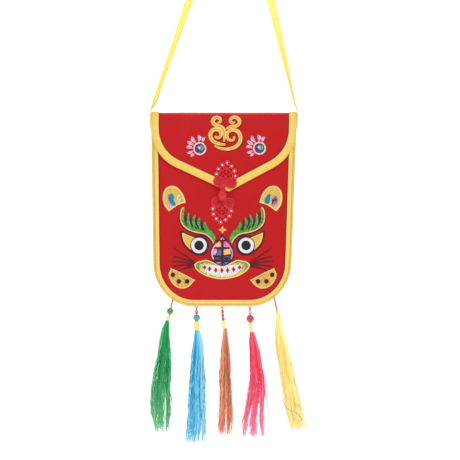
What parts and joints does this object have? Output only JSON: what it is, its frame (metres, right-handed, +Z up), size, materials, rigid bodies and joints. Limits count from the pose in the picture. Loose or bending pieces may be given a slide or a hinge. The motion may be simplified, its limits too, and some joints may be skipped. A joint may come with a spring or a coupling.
{
  "type": "chinese embroidered purse",
  "caption": "Flat cloth hanging purse with a pointed flap, bound edges, knotted cord fastener, embroidered folk tiger mask, thread tassels and a ribbon strap.",
  "frame": {"origin": "the point where the ribbon hangs, on the underside of its upper bend, in the middle of its width", "axes": "+Z up, front of the purse facing -Y, +X to the right seen from the front"},
  "size_m": [0.1591, 0.0233, 0.5653],
  "materials": {
    "red_satin": "satin weave with a soft sheen and fine puckers beside the stitching",
    "yellow_tape": "glossy bias satin tape, rounded over the edge",
    "yellow_ribbon": "thin glossy satin ribbon with woven edges",
    "red_cord": "twisted satin cord",
    "clear_stone": "bright cut stone",
    "gold_thread": "laid metallic gold thread",
    "green_thread": "satin stitch with gold and dark outlines",
    "white_thread": "satin stitch",
    "violet_thread": "satin stitch in patches of several colours",
    "pink_thread": "satin stitch",
    "green_bead": "polished",
    "blue_bead": "polished",
    "rose_bead": "polished",
    "green_floss": "silky loose floss",
    "blue_floss": "silky loose floss",
    "copper_floss": "silky loose floss of mixed red and gold strands",
    "rose_floss": "silky loose floss",
    "yellow_floss": "silky loose floss"
  },
  "bodies": {
    "root": {"back_and_flap": "red_satin", "front_panel": "red_satin", "body_tape": "yellow_tape", "flap_tape": "yellow_tape", "ribbon_strap": "yellow_ribbon", "fastener_upper": "red_cord", "fastener_lower": "red_cord", "button_knot": "red_cord", "stone_upper_1": "clear_stone", "stone_upper_2": "clear_stone", "stone_upper_3": "clear_stone", "stone_upper_4": "clear_stone", "stone_upper_5": "clear_stone", "stone_upper_6": "clear_stone", "stone_upper_7": "clear_stone", "stone_lower_1": "clear_stone", "stone_lower_2": "clear_stone", "stone_lower_3": "clear_stone", "stone_lower_4": "clear_stone", "stone_lower_5": "clear_stone", "stone_lower_6": "clear_stone", "stone_lower_7": "clear_stone", "ear_left": "gold_thread", "ear_right": "gold_thread", "brow_left": "green_thread", "brow_right": "green_thread", "eye_left": "white_thread", "eye_right": "white_thread", "cheek_left": "gold_thread", "cheek_right": "gold_thread", "nose": "violet_thread", "mouth": "white_thread", "forehead_mark": "gold_thread", "cloud_ornament": "gold_thread", "blossom_left": "pink_thread", "blossom_right": "pink_thread", "green_tassel_cord": "red_cord", "green_bead": "green_bead", "green_tassel_neck": "yellow_floss", "green_tassel_skirt": "green_floss", "blue_tassel_cord": "red_cord", "blue_bead": "blue_bead", "blue_tassel_neck": "yellow_floss", "blue_tassel_skirt": "blue_floss", "copper_tassel_cord": "red_cord", "copper_tassel_neck": "yellow_floss", "copper_tassel_skirt": "copper_floss", "rose_tassel_cord": "red_cord", "rose_bead": "rose_bead", "rose_tassel_neck": "yellow_floss", "rose_tassel_skirt": "rose_floss", "yellow_tassel_cord": "red_cord", "yellow_tassel_neck": "yellow_floss", "yellow_tassel_skirt": "yellow_floss"}
  },
  "joints": []
}
